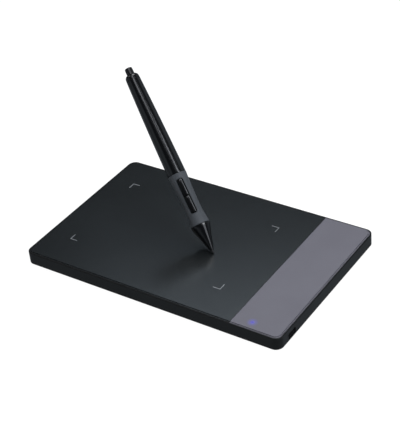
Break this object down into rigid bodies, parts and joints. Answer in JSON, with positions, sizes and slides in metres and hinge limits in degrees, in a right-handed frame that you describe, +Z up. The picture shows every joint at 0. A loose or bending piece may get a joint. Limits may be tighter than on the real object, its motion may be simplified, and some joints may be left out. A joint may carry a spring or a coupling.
{
  "type": "pen drawing tablet",
  "caption": "Slim black drawing tablet with a grey side panel and a cordless pen standing on its work area, with sprung nib, side buttons and eraser.",
  "frame": {"origin": "middle of the footprint, on the plane under the rubber feet", "axes": "+X along the tablet's length towards the grey panel, +Y towards its rear edge, +Z up"},
  "size_m": [0.1756, 0.111, 0.0957],
  "materials": {
    "shell_black": "fine satin texture",
    "frame_black": "satin, a little glossier than the lower shell",
    "sheet_black": "matt, fine tooth",
    "panel_grey": "satin moulded grey",
    "mark_ink": "light grey printed ink",
    "rubber_black": "matt rubber",
    "grip_rubber": "soft-touch dark grey rubber",
    "gloss_black": "polished black",
    "button_black": "satin-gloss black",
    "nib_black": "plain acetal",
    "eraser_black": "satin",
    "screw_steel": "black-zinc steel",
    "spring_steel": "bright wire",
    "port_metal": "nickel-plated sheet",
    "port_plastic": "moulded",
    "contact_gold": "gold flash",
    "board_green": "solder resist",
    "chip_black": "epoxy",
    "shield_metal": "tinned sheet steel",
    "ribbon_amber": "polyimide film",
    "ferrite_grey": "sintered ferrite",
    "coil_copper": "enamelled copper wire",
    "led_blue": "lit violet-blue light pipe",
    "led_package": "lamp package",
    "label_grey": "blank foil label",
    "carrier_grey": "plain moulding"
  },
  "bodies": {
    "tablet": {"bottom_cover": "shell_black", "top_cover": "frame_black", "side_panel": "panel_grey", "drawing_sheet": "sheet_black", "work_area_marks": "mark_ink", "rating_label": "label_grey", "foot_front_left": "rubber_black", "foot_front_right": "rubber_black", "foot_rear_left": "rubber_black", "foot_rear_right": "rubber_black", "case_screws": "screw_steel", "sensor_board": "board_green", "shield_plate": "shield_metal", "main_board": "board_green", "controller_chips": "chip_black", "ribbon_socket": "port_plastic", "ribbon_cable": "ribbon_amber", "status_led": "led_package", "led_lens": "led_blue", "usb_shell": "port_metal", "usb_insert": "port_plastic", "usb_contacts": "contact_gold"},
    "pen": {"nose_cone": "gloss_black", "ferrite_core": "ferrite_grey", "nib_coil": "coil_copper", "nib_spring": "spring_steel", "pressure_sensor": "carrier_grey", "inner_tube": "shell_black", "grip_sleeve": "grip_rubber", "pen_board": "board_green", "side_switches": "chip_black", "rear_barrel": "gloss_black", "tail_cap": "gloss_black", "rear_carrier": "carrier_grey", "eraser_sensor": "carrier_grey", "eraser_core": "ferrite_grey", "eraser_coil": "coil_copper", "eraser_spring": "spring_steel"},
    "nib_unit": {"nib": "nib_black", "nib_holder": "carrier_grey"},
    "lower_button": {"lower_side_button": "button_black"},
    "upper_button": {"upper_side_button": "button_black"},
    "eraser_unit": {"eraser": "eraser_black"}
  },
  "joints": [
    {"name": "pen_lift", "type": "slide", "parent": "tablet", "child": "pen", "axis": [0, 0, 1], "range_m": [0, 0.05]},
    {"name": "nib_press", "type": "slide", "parent": "pen", "child": "nib_unit", "axis": [-0.6378, 0.3194, 0.7009], "range_m": [0, 0.0008], "stiffness_N_per_m": 400},
    {"name": "lower_button_press", "type": "slide", "parent": "pen", "child": "lower_button", "axis": [-0.4134, 0.6259, -0.6613], "range_m": [0, 0.0004], "stiffness_N_per_m": 1500},
    {"name": "upper_button_press", "type": "slide", "parent": "pen", "child": "upper_button", "axis": [-0.4134, 0.6259, -0.6613], "range_m": [0, 0.0004], "stiffness_N_per_m": 1500},
    {"name": "eraser_press", "type": "slide", "parent": "pen", "child": "eraser_unit", "axis": [0.6378, -0.3194, -0.7009], "range_m": [0, 0.0008], "stiffness_N_per_m": 400}
  ]
}
